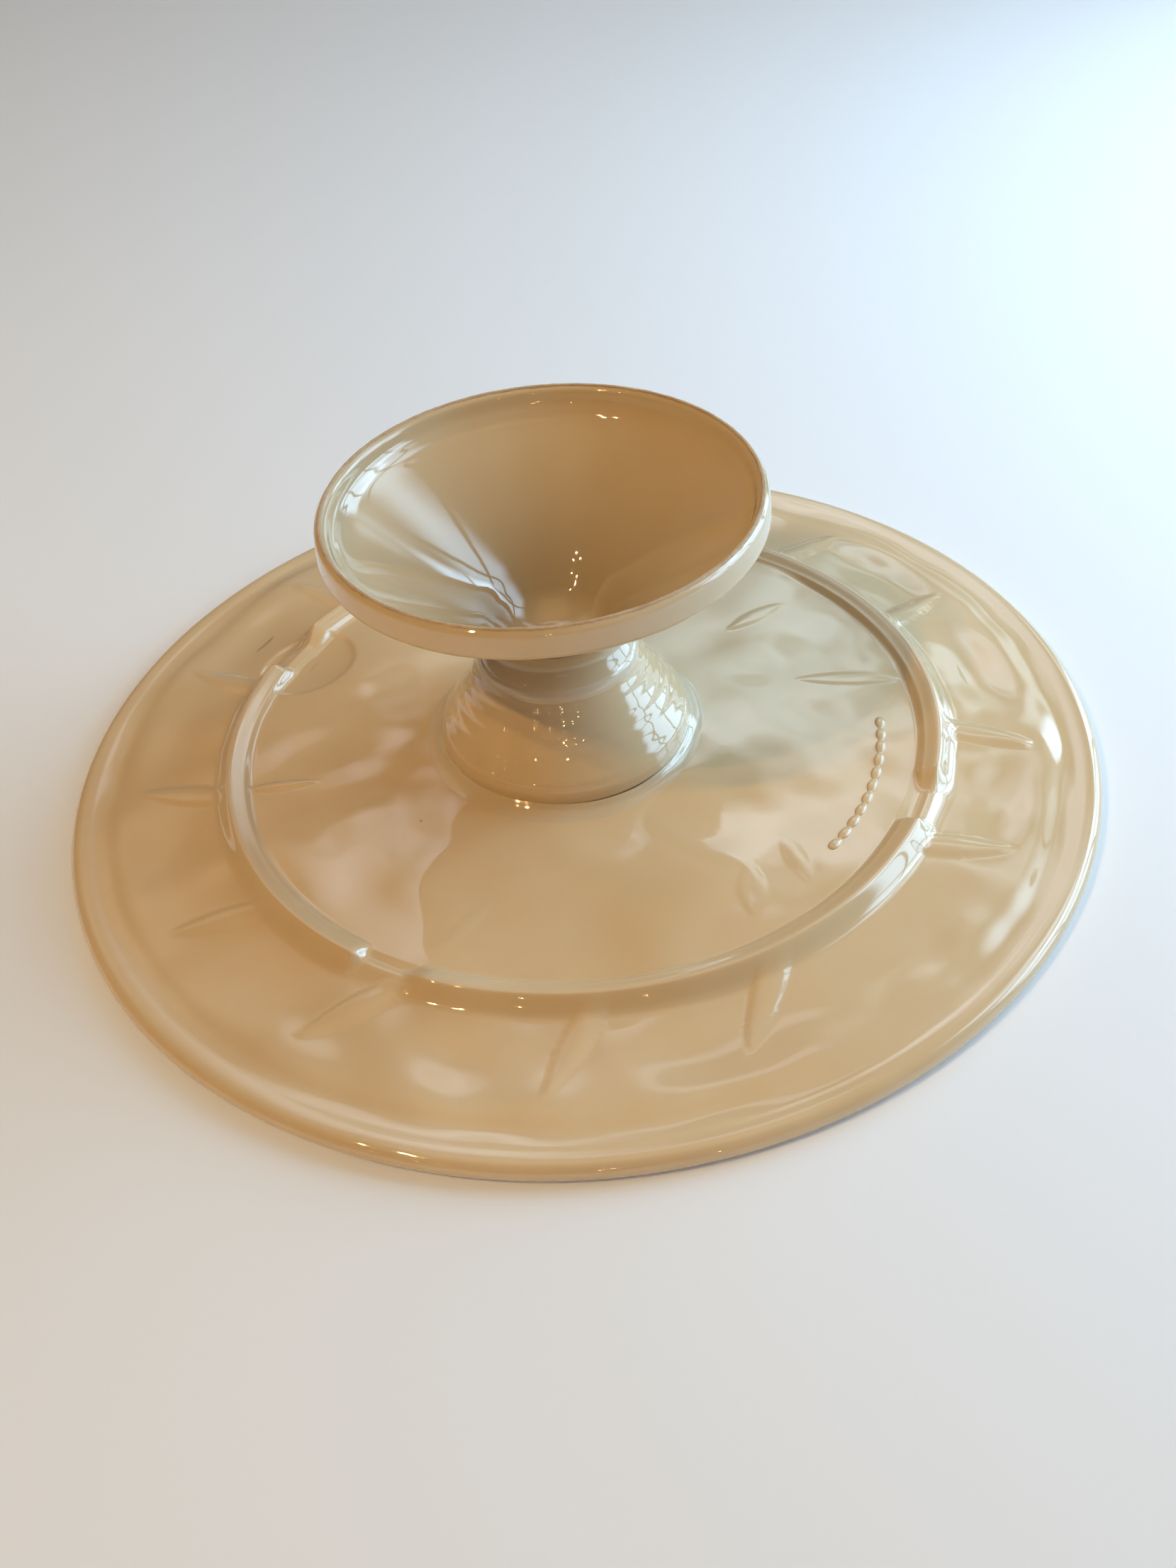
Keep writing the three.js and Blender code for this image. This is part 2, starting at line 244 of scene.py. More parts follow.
def relief(x, y):
    """Everything that stands on or sinks into the plain underside."""
    radius, angle = np.hypot(x, y), np.arctan2(y, x)
    height = petal_dishes(radius, angle)
    outside_ring = smooth(RING_RADIUS, RING_RADIUS + 4, radius)
    for k, lean in enumerate(RIB_LEAN_DEG):
        middle = FIRST_RIB_DEG + k * 360 / PETALS
        start = polar(middle - 0.25 * lean, RIB_START)
        end = polar(middle + 0.75 * lean, RIB_END - 0.5 * abs(lean))
        rib = spindle(x, y, start, end, RIB_HALF_WIDTH, RIB_HEIGHT, RIB_EDGE)
        height = height + outside_ring * rib
    for deg_a, r_a, deg_b, r_b, half, rise in LEAVES:
        leaf = spindle(x, y, polar(deg_a, r_a), polar(deg_b, r_b), half, rise, LEAF_EDGE)
        height = height + leaf
    deg, middle, round_half, across_half, depth = DISH
    along = turn(angle, deg) * middle / round_half
    across = (radius - middle) / across_half
    height = height - depth * np.clip(1 - (along**2 + across**2), 0, 1) ** DISH_EDGE
    calm = 1 - smooth(*CALM_RADII, radius)
    return height + calm * (soft_waves(x, y) + FINE_HEIGHT * fine_wave(x, y))


def level_ground(x, y):
    return base_height(np.hypot(x, y))


def underside(x, y):
    return level_ground(x, y) + relief(x, y)


def notch_at(angle):
    """How deep the notches cut at an angle, from 0 to 1, and how far they push the ring out."""
    cut, push = np.zeros_like(angle), np.zeros_like(angle)
    for middle, crisp, bulge in NOTCHES:
        along = turn(angle, middle) * RING_RADIUS * crisp
        share = smooth(*NOTCH_SOFT_RAMP, along) * (1 - smooth(*NOTCH_CRISP_RAMP, along))
        cut = np.maximum(cut, share)
        push = push + bulge * share
    return cut, push


def ring_surface(x, y):
    """The underside with the drain ring standing on it: a steep inner wall, a top that leans
    inward and a hollow outer slope. A notch shaves the crest's outer part to a low sill."""
    ground = underside(x, y)
    across_x = x - RING_OFFSET
    radius, angle = np.hypot(across_x, y), np.arctan2(y, across_x)
    cut, push = notch_at(angle)
    side = radius - RING_RADIUS - push - RING_WANDER * np.sin(5 * angle + 1.0)
    inner_share = np.clip((side + RING_HALF_TOP + RING_INNER_RUN) / RING_INNER_RUN, 0, 1)
    inner = smooth(0, 1, inner_share**1.3)
    shaved = NOTCH_SHAVE * cut
    outer_share = np.clip((side - RING_HALF_TOP + shaved) / (RING_OUTER_RUN + shaved), 0, 1)
    outer = (1 - smooth(0, 1, outer_share**0.75)) ** 1.25
    fall = NOTCH_DEPTH * cut * (RING_TOP - level_ground(x, y))
    lean = RING_TOP_LEAN * (1 - smooth(-RING_HALF_TOP - 1, RING_HALF_TOP, side))
    crest = RING_TOP - RING_SETTLE - fall - lean
    blend = inner * outer
    return ground * (1 - blend) + np.maximum(crest, ground) * blend


# ---- Meshes ---------------------------------------------------------------------------------


def new_piece(name, points_mm, polygons):
    """A smooth-shaded piece from points in millimetres."""
    mesh = bpy.data.meshes.new(name)
    mesh.from_pydata((points_mm * MM).tolist(), [], polygons)
    mesh.polygons.foreach_set("use_smooth", np.ones(len(mesh.polygons), bool))
    piece = bpy.data.objects.new(name, mesh)
    scene.collection.objects.link(piece)
    return piece


def sharpen_rows(mesh, rows, columns):
    """Keeps the edges that run along the given rows crisp."""
    sharp = np.zeros(len(mesh.vertices), bool)
    for row in rows:
        sharp[row * columns : (row + 1) * columns] = True
    ends = np.zeros(2 * len(mesh.edges), np.int32)
    mesh.edges.foreach_get("vertices", ends)
    ends = ends.reshape(-1, 2)
    row_of = ends // columns
    along = sharp[ends[:, 0]] & sharp[ends[:, 1]] & (row_of[:, 0] == row_of[:, 1])
    mesh.attributes.new("sharp_edge", "BOOLEAN", "EDGE").data.foreach_set("value", along)


def skin(name, rows, crease_rows=()):
    """A closed piece from a section's rows of points, each row running once round the axis.
    The rows run anticlockwise round the section. A section that starts and ends on the axis has
    a row of equal points at each end: each of them becomes one pole, and the section isn't
    wrapped."""
    count, columns = len(rows), rows.shape[1]
    poled = np.ptp(rows[0], axis=0).max() < 1e-9
    points = rows.reshape(-1, 3)
    step = np.arange(columns)
    after = (step + 1) % columns
    faces = []
    for i in range(count - 1 if poled else count):
        a, b = i * columns, ((i + 1) % count) * columns
        faces.append(np.stack([a + step, a + after, b + after, b + step], 1))
    quads = np.vstack(faces)
    if poled:
        last_row = (count - 1) * columns
        quads = np.where(quads < columns, 0, quads)
        quads = np.where(quads >= last_row, last_row, quads)
        used, index = np.unique(quads, return_inverse=True)
        points = points[used]
        quads = index.reshape(quads.shape)
    polygons = [tuple(dict.fromkeys(quad)) for quad in quads.tolist()]
    piece = new_piece(name, points, polygons)
    if crease_rows:
        sharpen_rows(piece.data, crease_rows, columns)
    piece.data.update()
    return piece


def circle(columns):
    angle = np.linspace(0, 2 * math.pi, columns, endpoint=False)
    return np.cos(angle), np.sin(angle), angle


def swept(section, columns, centre_x=0.0, shape=None):
    """Rows of points from an (r, z) section turned about the axis and moved by shape(r, z,
    angle)."""
    cosine, sine, angle = circle(columns)
    radius = np.repeat(section[:, :1], columns, 1)
    height = np.repeat(section[:, 1:], columns, 1)
    if shape is not None:
        radius, height = shape(radius, height, np.repeat(angle[None], len(section), 0))
    return np.stack([centre_x + radius * cosine, radius * sine, height], 2)


def on_surface(radii, surface, columns=COLUMNS, lower=0.0):
    """Rows that follow a height field at the given radii."""
    cosine, sine = circle(columns)[:2]
    x, y = np.outer(radii, cosine), np.outer(radii, sine)
    return np.stack([x, y, surface(x, y) - lower], 2)


def food_face(x, y):
    return level_ground(x, y) + FOOD_FACE_SHARE * relief(x, y)


def plate_piece():
    rim_start = PLATE_RADIUS - RIM_ROUND
    inner = np.concatenate([np.linspace(MOUTH_RADIUS, 42, 8), np.arange(43, RING_BAND[0], 1.0)])
    bed = np.linspace(RING_BAND[0] + HIDDEN_EDGE, RING_BAND[1] - HIDDEN_EDGE, 16)
    skirt = np.concatenate([np.arange(RING_BAND[1], 152, 1.0), np.arange(152, rim_start, 0.7)])
    food = np.concatenate(
        [np.arange(155.0, 122, -1.5), np.arange(121.0, 46, -3.0), np.linspace(44, 38.8, 4)])
    outward = [
        on_surface(inner, underside),
        on_surface(np.array([RING_BAND[0]]), underside),
        on_surface(bed, level_ground, lower=RING_BED),
        on_surface(skirt, underside),
    ]
    rim = swept(round_corner((rim_start, RIM_ROUND), RIM_ROUND, 84, -90, 16), COLUMNS)
    food_rim = swept(np.array([(rim_start - 3.2, 0.0), (rim_start - 4.6, 0.25)]), COLUMNS)
    food_rows = on_surface(food, food_face, lower=PLATE_WALL)
    food_rows[..., 2] = np.maximum(food_rows[..., 2], 0.05)
    lip_centre = (MOUTH_RADIUS + MOUTH_LIP / 2, RECESS_Z - PLATE_WALL - 1.9)
    lip = swept(round_corner(lip_centre, MOUTH_LIP / 2, 0, -180, 12), COLUMNS)
    rows = np.vstack(outward + [rim, food_rim, food_rows, lip])[::-1]
    last = len(rows) - 1
    return skin("plate", rows, (last - len(inner), last - (len(inner) + 1 + len(bed))))


def ring_piece():
    top = np.concatenate([np.arange(RING_BAND[0], 106, 0.75), np.arange(106, 120, 0.25),
                          np.arange(120, RING_BAND[1] - 0.4, 0.8), [RING_BAND[1]]])
    low = np.linspace(RING_BAND[0] + HIDDEN_EDGE, RING_BAND[1] - HIDDEN_EDGE, 10)
    bottom = on_surface(low, level_ground, lower=RING_BOTTOM)
    upper = on_surface(top, ring_surface)
    rows = np.vstack([bottom, upper[::-1]])
    return skin("drain_ring_glazed", rows, (len(bottom), len(rows) - 1))


THROWING_HEIGHT = 0.06
THROWING_PITCHES = (5.6, 3.7)
WELL_CEILING = 5.0  # thickness over the well


def throwing_rings(height):
    """The shallow rings that the potter's fingers left on the bell, fading out at both ends."""
    fade = smooth(17.5, 22.0, height) * (1 - smooth(40.0, 45.0, height))
    wide = np.sin(2 * math.pi * (height - 17.0) / THROWING_PITCHES[0])
    narrow = np.sin(2 * math.pi * height / THROWING_PITCHES[1])
    return fade * THROWING_HEIGHT * (wide + narrow)


def well_piece():
    base_z = well_low[2]
    outside = curve(
        [(WELL_RADIUS - 1.2, base_z + 0.2), (WELL_RADIUS - 0.1, base_z + 2.6),
         (WELL_RADIUS - 0.5, base_z + 7.4), (WELL_RADIUS - 4.8, base_z + 13.6),
         (WELL_RADIUS - 9.2, base_z + 20.2), (WELL_RADIUS - 12.6, base_z + 26.2),
         (24.9, WELL_TOP - 0.3)], 14)
    top = np.array([(23.8, WELL_TOP - 0.05), (20.0, WELL_TOP - 0.1), (8.0, WELL_TOP - 0.5),
                    (0.0, WELL_TOP - 0.6)])
    ceiling = WELL_TOP - WELL_CEILING
    inside = curve(
        [(0.0, ceiling), (9.0, ceiling - 0.3), (18.2, ceiling - 2.2), (26.9, base_z + 16.0),
         (33.5, base_z + 6.0), (MOUTH_RADIUS + 0.1, base_z + 0.05)], 8)
    section = np.vstack([inside, outside, top])

    def shape(radius, height, angle):
        outer = radius > 25.0
        uneven = 0.12 * np.sin(2 * angle + 0.6) * smooth(17, 25, height)
        spiral = throwing_rings(height + 0.5 * np.sin(angle))
        return radius + np.where(outer & (height > base_z + 1), uneven + spiral, 0), height

    rows = swept(section, WELL_COLUMNS, PEDESTAL_X, shape)
    rows[0, :, :2] = rows[-1, :, :2] = (PEDESTAL_X, 0)
    return skin("dip_well_bell", rows)


def foot_piece():
    bottom = foot_low[2]
    clay_inner, clay_outer = FOOT_RADIUS - 2.75, FOOT_RADIUS - 1.65
    base = [(0.0, bottom), (12.0, bottom)]
    neck = curve([(24.5, bottom), (23.6, bottom + 2.4), (21.2, bottom + 6.2),
                  (20.8, bottom + 10.0), (24.0, bottom + 14.2), (31.0, bottom + 19.8),
                  (42.0, bottom + 28.4), (53.0, bottom + 37.0), (61.0, bottom + 43.2)], 9)
    band = curve([(61.0, bottom + 43.2), (64.3, bottom + 45.4),
                  (FOOT_RADIUS - 0.15, bottom + 47.0),
                  (FOOT_RADIUS - 0.1, bottom + 49.5), (FOOT_RADIUS - 0.5, FOOT_TOP - 2.0),
                  (clay_outer, FOOT_TOP - 0.45)], 8)[1:]
    hollow = curve([(clay_inner, FOOT_TOP - 0.45), (clay_inner - 1.2, FOOT_TOP - 1.6),
                    (61.4, FOOT_TOP - 4.6), (60.2, FOOT_TOP - 6.6), (57.5, FOOT_TOP - 9.6),
                    (50.0, FOOT_TOP - 15.6), (40.0, FOOT_TOP - 23.4), (31.0, FOOT_TOP - 30.6),
                    (24.0, FOOT_TOP - 36.6), (18.6, FOOT_TOP - 42.0), (13.0, FOOT_TOP - 46.8),
                    (6.5, FOOT_TOP - 49.6), (0.0, FOOT_TOP - 50.4)], 9)
    under_clay = np.array([(clay_outer - 0.1, FOOT_TOP - 1.2),
                           (clay_inner + 0.1, FOOT_TOP - 1.2)])
    section = np.vstack([base, neck, band, under_clay, hollow])

    def shape(radius, height, angle):
        wide = smooth(30.0, 64.0, radius)
        oval = 0.22 * np.sin(2 * angle + 0.9) * wide * (height < FOOT_TOP - 9)
        rim_wave = 0.10 * np.sin(3 * angle) * smooth(FOOT_TOP - 6, FOOT_TOP - 2, height)
        return radius + np.minimum(oval, 0.0), height - np.abs(rim_wave)

    rows = swept(section, FOOT_COLUMNS, PEDESTAL_X, shape)
    rows[0, :, :2] = rows[-1, :, :2] = (PEDESTAL_X, 0)
    rows[0, :, 2], rows[-1, :, 2] = section[0][1], section[-1][1]
    return skin("pedestal_foot_glazed", rows)


def clay_edge_piece():
    """The thin unglazed edge that the server stands on, a little ragged where the glaze was
    wiped off."""
    middle, half = FOOT_RADIUS - 2.2, 0.62
    section = np.vstack([
        [(middle - half + 0.1, FOOT_TOP - 1.0), (middle + half - 0.1, FOOT_TOP - 1.0)],
        curve([(middle + half, FOOT_TOP - 0.42), (middle + 0.6 * half, FOOT_TOP - 0.06),
               (middle, FOOT_TOP - 0.02), (middle - 0.6 * half, FOOT_TOP - 0.06),
               (middle - half, FOOT_TOP - 0.42)], 3)])
    rng = np.random.RandomState(5)
    grain = rng.normal(0, 1, (3, CLAY_COLUMNS))
    kernel = np.exp(-np.linspace(-2, 2, 9) ** 2)
    kernel = kernel / kernel.sum()
    one_turn = slice(CLAY_COLUMNS, 2 * CLAY_COLUMNS)
    outer_wear, inner_wear, top_wear = [
        np.convolve(np.tile(g, 3), kernel, "same")[one_turn] for g in grain]

    def shape(radius, height, angle):
        side = (radius - middle) / half
        edge = np.where(side > 0, outer_wear, inner_wear) * 0.15 * np.abs(side)
        dip = np.abs(top_wear) * 0.05 * (height > FOOT_TOP - 0.5)
        return radius + edge, height - dip

    return skin("bare_clay_edge", swept(section, CLAY_COLUMNS, PEDESTAL_X, shape))


def well_seam_piece():
    bed = base_height
    section = np.vstack([
        [(WELL_RADIUS - 2.6, bed(38.0) - 0.4), (WELL_RADIUS + 6.4, bed(46.0) - 0.5)],
        curve([(WELL_RADIUS + 5.6, bed(45.2) - 0.06), (WELL_RADIUS + 3.4, bed(43.0) + 0.22),
               (WELL_RADIUS + 1.5, bed(41.2) + 0.95), (WELL_RADIUS + 0.4, bed(40.2) + 1.9),
               (WELL_RADIUS - 0.3, bed(39.4) + 2.25), (WELL_RADIUS - 1.1, bed(38.8) + 1.6),
               (WELL_RADIUS - 1.9, bed(38.0) + 0.5)], 6)])

    def shape(radius, height, angle):
        wander = 0.35 * np.sin(3 * angle + 0.5) + 0.2 * np.sin(7 * angle)
        outer = smooth(WELL_RADIUS, WELL_RADIUS + 4, radius)
        return radius + wander * outer, height

    rows = swept(section, WELL_COLUMNS, PEDESTAL_X, shape)
    rows[..., 2] += soft_waves(rows[..., 0], rows[..., 1])
    return skin("well_seam_slip", rows)


def shoulder_seam_piece():
    middle = WELL_TOP + 0.3
    section = np.vstack([
        [(22.0, middle - 1.9), (24.6, middle - 2.2)],
        curve([(25.4, middle - 1.7), (25.1, middle - 0.2), (24.5, middle + 1.2),
               (23.4, middle + 2.4)], 6),
        [(22.0, middle + 2.0)]])

    def shape(radius, height, angle):
        lumpy = 0.05 * np.sin(9 * angle) + 0.05 * np.sin(4 * angle + 2)
        return radius + lumpy * (radius > 24.7), height

    return skin("shoulder_seam_slip", swept(section, SHOULDER_COLUMNS, PEDESTAL_X, shape))


MARK_BEADS = 11
MARK_RADIUS = 97.0
MARK_START_DEG, MARK_SPAN_DEG = -44.0, 38.0
BEAD_RADIUS = 1.7


def mark_piece():
    """A plain beaded bar: a low ridge in the recess that swells at each bead."""
    along, across = 264, 15  # steps each way
    turns = np.linspace(0, math.pi, along)
    angle = np.radians(MARK_START_DEG + MARK_SPAN_DEG * turns / math.pi)
    swell = np.abs(np.sin(turns * MARK_BEADS))
    half = BEAD_RADIUS * (0.30 + 0.65 * swell**0.6)
    end = np.clip(np.minimum(turns, math.pi - turns) / 0.03, 0.02, 1)
    side = np.linspace(1, -1, across)
    radius = MARK_RADIUS + half[:, None] * end[:, None] * side
    x, y = radius * np.cos(angle)[:, None], radius * np.sin(angle)[:, None]
    crown = (0.30 + 0.55 * swell)[:, None] * np.sqrt(np.clip(1 - side**2, 0, 1)) * end[:, None]
    top = np.stack([x, y, underside(x, y) + crown - 0.04], 2)
    low = np.stack([x[:, ::-1], y[:, ::-1], underside(x[:, ::-1], y[:, ::-1]) - 0.5], 2)
    loop = np.concatenate([top, low], 1)
    count, columns = loop.shape[:2]
    number = np.arange(count * columns).reshape(count, columns)
    here, after = number[:-1], number[1:]
    sides = np.stack([here, after, np.roll(after, -1, 1), np.roll(here, -1, 1)], 2)
    faces = sides.reshape(-1, 4).tolist() + [number[0].tolist(), number[-1, ::-1].tolist()]
    piece = new_piece("plain_bead_bar", loop.reshape(-1, 3), faces)
    piece.data.update()
    return piece


# ---- Materials ------------------------------------------------------------------------------


def srgb(red, green, blue):
    def channel(value):
        value /= 255
        return value / 12.92 if value <= 0.04045 else ((value + 0.055) / 1.055) ** 2.4

    return (channel(red), channel(green), channel(blue), 1.0)


class Nodes:
    """Short calls for building one material's node tree."""

    def __init__(self, name):
        self.material = bpy.data.materials.new(name)
        self.material.use_nodes = True
        self.tree = self.material.node_tree
        self.shader = self.tree.nodes["Principled BSDF"]
        self.place = self.node("ShaderNodeTexCoord").outputs["Object"]

    def node(self, kind, inputs=None, **settings):
        made = self.tree.nodes.new(kind)
        for key, value in settings.items():
            setattr(made, key, value)
        for key, value in (inputs or {}).items():
            if isinstance(value, bpy.types.NodeSocket):
                self.tree.links.new(value, made.inputs[key])
            else:
                made.inputs[key].default_value = value
        return made

    def noise(self, scale, detail=2.0, roughness=0.5):
        inputs = {"Vector": self.place, "Scale": scale, "Detail": detail, "Roughness": roughness}
        return self.node("ShaderNodeTexNoise", inputs).outputs["Fac"]

    def ramp(self, value, low, high, out_low=0.0, out_high=1.0):
        inputs = {"Value": value, "From Min": low, "From Max": high,
                  "To Min": out_low, "To Max": out_high}
        return self.node("ShaderNodeMapRange", inputs).outputs["Result"]

    def mix(self, share, first, second):
        made = self.node("ShaderNodeMix", data_type="RGBA")
        for index, value in ((0, share), (6, first), (7, second)):
            if isinstance(value, bpy.types.NodeSocket):
                self.tree.links.new(value, made.inputs[index])
            else:
                made.inputs[index].default_value = value
        return made.outputs[2]

    def math(self, operation, first, second):
        return self.node("ShaderNodeMath", {0: first, 1: second}, operation=operation).outputs[0]

    def vector(self, operation, *inputs):
        return self.node("ShaderNodeVectorMath", dict(enumerate(inputs)), operation=operation)

    def bump(self, height, distance, strength, before=None):
        inputs = {"Height": height, "Distance": distance, "Strength": strength}
        if before is not None:
            inputs["Normal"] = before
        return self.node("ShaderNodeBump", inputs).outputs["Normal"]

    def link(self, output, name):
        self.tree.links.new(output, self.shader.inputs[name])


GLAZE_IOR = 1.52
GLAZE_ROUGHNESS = (0.03, 0.07)
COAT_WEIGHT, COAT_ROUGHNESS = 0.7, 0.01
PINHOLE_CELLS = 60.0  # cells to a metre, and about one in fifteen has a pinhole
PINHOLE_EDGE = (0.020, 0.034)
PINHOLE_CHOICE = (0.93, 0.94)
PINHOLE_SRGB = (74, 50, 36)
# Darker glaze in the foot's hollow round its axis: partly glaze pooling thicker there, partly
# painted shade of the deep hollow.
POOLING_AND_SHADE_RADII_M = (0.012, 0.058)  # full inside the first radius, faint outside the second
POOLING_AND_SHADE_AT_EDGE = 0.15
POOLING_AND_SHADE_RISE = 12.0  # it comes in over this height above the bell


def glaze(name, ivory, warm, pinholes=True, pooling_and_shade=None):
    """A glossy ivory glaze: soft drifts of colour, a faint orange peel and a few dark pinholes.
    Round the pedestal's axis, above the bell, it is darker: partly thicker glaze pooling there,
    partly painted shade of the foot's deep hollow."""
    n = Nodes(name)
    drift = n.ramp(n.noise(9.0, 3.0, 0.55), 0.36, 0.66)
    mottle = n.ramp(n.noise(70.0, 4.0, 0.6), 0.42, 0.72, 0.0, 0.35)
    colour = n.mix(drift, ivory, warm)
    colour = n.mix(mottle, colour, warm)
    # Painted shade, partly thicker glaze pooling: darker towards the axis of the foot's hollow,
    # above the bell.
    if pooling_and_shade is not None:
        from_axis = n.vector("SUBTRACT", n.place, (PEDESTAL_X * MM, 0, 0)).outputs[0]
        flat = n.vector("MULTIPLY", from_axis, (1, 1, 0)).outputs[0]
        reach = n.vector("LENGTH", flat).outputs["Value"]
        height = n.node("ShaderNodeSeparateXYZ", {0: n.place}).outputs[2]
        near_axis = n.ramp(reach, *POOLING_AND_SHADE_RADII_M, 1.0, POOLING_AND_SHADE_AT_EDGE)
        above_bell = n.ramp(height, WELL_TOP * MM, (WELL_TOP + POOLING_AND_SHADE_RISE) * MM)
        colour = n.mix(n.math("MULTIPLY", near_axis, above_bell), colour, pooling_and_shade)
    rough = n.ramp(n.noise(26.0, 3.0), 0.3, 0.7, *GLAZE_ROUGHNESS)
    if pinholes:
        cells = n.node("ShaderNodeTexVoronoi",
                       {"Vector": n.place, "Scale": PINHOLE_CELLS, "Randomness": 1.0})
        dot = n.ramp(cells.outputs["Distance"], *PINHOLE_EDGE, 1.0, 0.0)
        draw = n.node("ShaderNodeSeparateColor", {"Color": cells.outputs["Color"]}).outputs[0]
        chosen = n.ramp(draw, *PINHOLE_CHOICE)
        colour = n.mix(n.math("MULTIPLY", dot, chosen), colour, srgb(*PINHOLE_SRGB))
    n.link(colour, "Base Color")
    n.link(rough, "Roughness")
    peel = n.bump(n.noise(420.0, 2.0), 0.00006, 0.25)
    n.link(n.bump(n.noise(85.0, 2.0), 0.00025, 0.18, peel), "Normal")
    n.shader.inputs["IOR"].default_value = GLAZE_IOR
    n.shader.inputs["Coat Weight"].default_value = COAT_WEIGHT
    n.shader.inputs["Coat Roughness"].default_value = COAT_ROUGHNESS
    return n.material


def clay(name):
    """Unglazed clay: matt, grainy and a little stained."""
    n = Nodes(name)
    stain = n.ramp(n.noise(120.0, 5.0, 0.65), 0.35, 0.7)
    n.link(n.mix(stain, srgb(214, 188, 154), srgb(190, 156, 118)), "Base Color")
    n.link(n.ramp(n.noise(300.0, 3.0), 0.3, 0.7, 0.72, 0.95), "Roughness")
    n.link(n.bump(n.noise(1500.0, 4.0, 0.7), 0.0004, 0.9), "Normal")
    return n.material


plate_glaze = glaze("plate_glaze", srgb(230, 205, 166), srgb(221, 191, 147))
# Its darker tint round the hollow's axis is partly glaze pooling, partly painted shade.
pedestal_glaze = glaze("pedestal_glaze", srgb(227, 202, 164), srgb(217, 188, 145),
                       pooling_and_shade=srgb(172, 149, 113))
seam_glaze = glaze("seam_glaze", srgb(228, 210, 182), srgb(212, 188, 152), pinholes=False)
bare_clay = clay("bare_clay")


def finish_piece(piece, material, slot, *nodes):
    piece.data.materials.append(material)
    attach(piece, "root")
    if nodes:
        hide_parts(*nodes)


# ---- Camera ---------------------------------------------------------------------------------

CAMERA_DISTANCE = 0.5387  # from the centre of the rim's plane
CAMERA_HEIGHT_DEG = 41.02
PAN_DEG, TILT_DEG, ROLL_DEG = 0.19, -0.91, -6.15
LENS = 37.63


def add_camera():
    height = math.radians(CAMERA_HEIGHT_DEG)
    place = Vector((0, -CAMERA_DISTANCE * math.cos(height), CAMERA_DISTANCE * math.sin(height)))
    ahead = -place.normalized()
    right = Vector((1, 0, 0))
    aim = ahead + math.tan(math.radians(PAN_DEG)) * right
    aim = (aim + math.tan(math.radians(TILT_DEG)) * right.cross(ahead)).normalized()
    side = aim.cross(Vector((0, 0, 1))).normalized()
    above = side.cross(aim)
    roll = math.radians(ROLL_DEG)
    cosine, sine = math.cos(roll), math.sin(roll)
    side, above = side * cosine + above * sine, above * cosine - side * sine
    camera = bpy.data.objects.new("camera", bpy.data.cameras.new("camera"))
    scene.collection.objects.link(camera)
    camera.data.lens = LENS
    camera.data.sensor_width = 36.0
    camera.data.clip_start = 0.01
    turned = Matrix((side, above, -aim)).transposed()
    camera.matrix_world = Matrix.Translation(place) @ turned.to_4x4()
    scene.camera = camera


# ---- Floor and lights -----------------------------------------------------------------------


FLOOR_SIZE = 8.0
FLOOR_GLOW, FLOOR_GLOW_STRENGTH = (0.5, 0.7, 1.0, 1.0), 0.08


def add_floor():
    bpy.ops.mesh.primitive_plane_add(size=FLOOR_SIZE, location=(0, 0, 0))
    floor = bpy.context.object
    floor.name = "floor"
    n = Nodes("pale_floor")
    n.link(n.mix(n.noise(3.0), srgb(238, 240, 243), srgb(243, 244, 245)), "Base Color")
    n.shader.inputs["Roughness"].default_value = 0.9
    n.shader.inputs["Specular IOR Level"].default_value = 0.1
    n.shader.inputs["Emission Color"].default_value = FLOOR_GLOW
    n.shader.inputs["Emission Strength"].default_value = FLOOR_GLOW_STRENGTH
    floor.data.materials.append(n.material)


# name, azimuth and height in degrees, distance, width and height, watts, colour, share of the
# width that fades out at each edge, panes across and up (0 for none), and whether it's cloudy.
SOFTBOXES = (
    ("low_window", 14, 16, 0.8, (1.0, 0.53), 10, (0.50, 0.75, 1.0), 0.12, (4, 2), False),
    ("side_window", 12, 38, 0.9, (0.8, 0.6), 7, (0.52, 0.78, 1.0), 0.3, (2, 2), False),
    ("back_window", 62, 34, 1.7, (1.4, 1.1), 9.5, (0.62, 0.85, 1.0), 0.3, (0, 0), True),
    ("overhead_panel", 88, 50, 1.8, (1.5, 1.2), 10, (0.84, 0.92, 1.0), 0.35, (0, 0), True),
    ("ceiling", 90, 86, 2.0, (2.0, 2.0), 7, (1.0, 0.64, 0.24), 0.3, (0, 0), False),
    ("left_wall", 125, 42, 1.8, (1.0, 0.8), 1.5, (1.0, 0.8, 0.55), 0.5, (0, 0), False),
)
# azimuth and height in degrees, distance, watts, radius
BULBS = (
    (210, 51, 1.5, 9.5, 0.014),
    (216, 56, 1.5, 9.5, 0.014),
    (222, 52, 1.5, 9.5, 0.014),
    (268, 19, 1.6, 1.2, 0.016),
    (266, 13, 1.6, 0.8, 0.014),
    (247, 25, 1.6, 0.5, 0.009),
    (238, 17, 1.6, 0.5, 0.009),
    (286, 12, 1.6, 0.5, 0.009),
)
STRING_LAMPS = 10  # tiny lamps strung low in front of the object
BULB_COLOUR = (1.0, 0.63, 0.23)
WORLD_COLOUR, WORLD_STRENGTH = (0.98, 0.90, 0.82, 1.0), 0.12
AIM_POINT = Vector((0, 0, 0.04))
CLOUD_SCALE = 2.8
CLOUD_STEP = (0.38, 0.60)
PANE_BAR = (0.02, 0.07)  # a bar's dark half and soft edge, as shares of a pane


def aim_at_object(lamp, azimuth_deg, height_deg, distance):
    azimuth, height = math.radians(azimuth_deg), math.radians(height_deg)
    flat = math.cos(height)
    toward = Vector((math.cos(azimuth) * flat, math.sin(azimuth) * flat, math.sin(height)))
    lamp.location = AIM_POINT + distance * toward
    lamp.rotation_mode = "QUATERNION"
    lamp.rotation_quaternion = (-toward).to_track_quat("-Z", "Y")
    scene.collection.objects.link(lamp)


